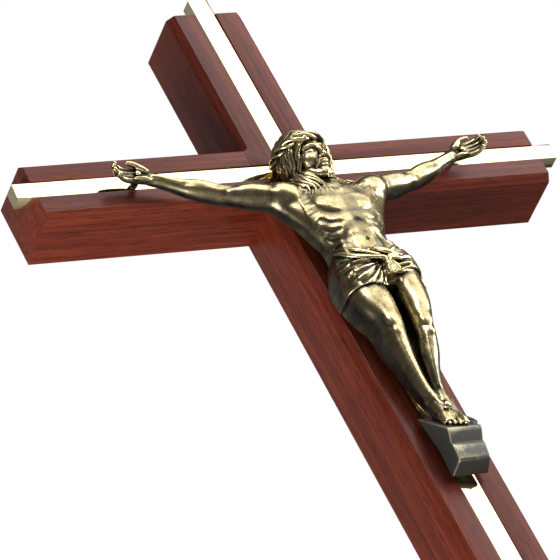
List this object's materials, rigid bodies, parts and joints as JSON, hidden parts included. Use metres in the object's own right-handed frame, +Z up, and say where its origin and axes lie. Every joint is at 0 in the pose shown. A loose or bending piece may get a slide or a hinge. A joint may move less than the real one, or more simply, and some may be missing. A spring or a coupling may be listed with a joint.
{
  "type": "wall crucifix",
  "caption": "Wall cross of stained wood with bright metal inlay bars proud at the ends, carrying a cast metal corpus that stands on a small foot block.",
  "frame": {"origin": "centre of the cross-beam's flat back face at the crossing, where it rests on the wall", "axes": "+Z up toward the head of the cross, +X to the viewer's right, the front faces -Y and the wall is at +Y"},
  "size_m": [0.1926, 0.0383, 0.318],
  "materials": {
    "stained_wood": "red-brown stain under satin lacquer, grain along each beam",
    "polished_brass": "mirror polished",
    "antique_brass": "antiqued casting, dark in the recesses and rubbed bright on the high parts"
  },
  "bodies": {
    "root": {"upright_beam": "stained_wood", "cross_beam": "stained_wood", "upright_inlay": "polished_brass", "cross_inlay": "polished_brass", "corpus": "antique_brass"}
  },
  "joints": []
}
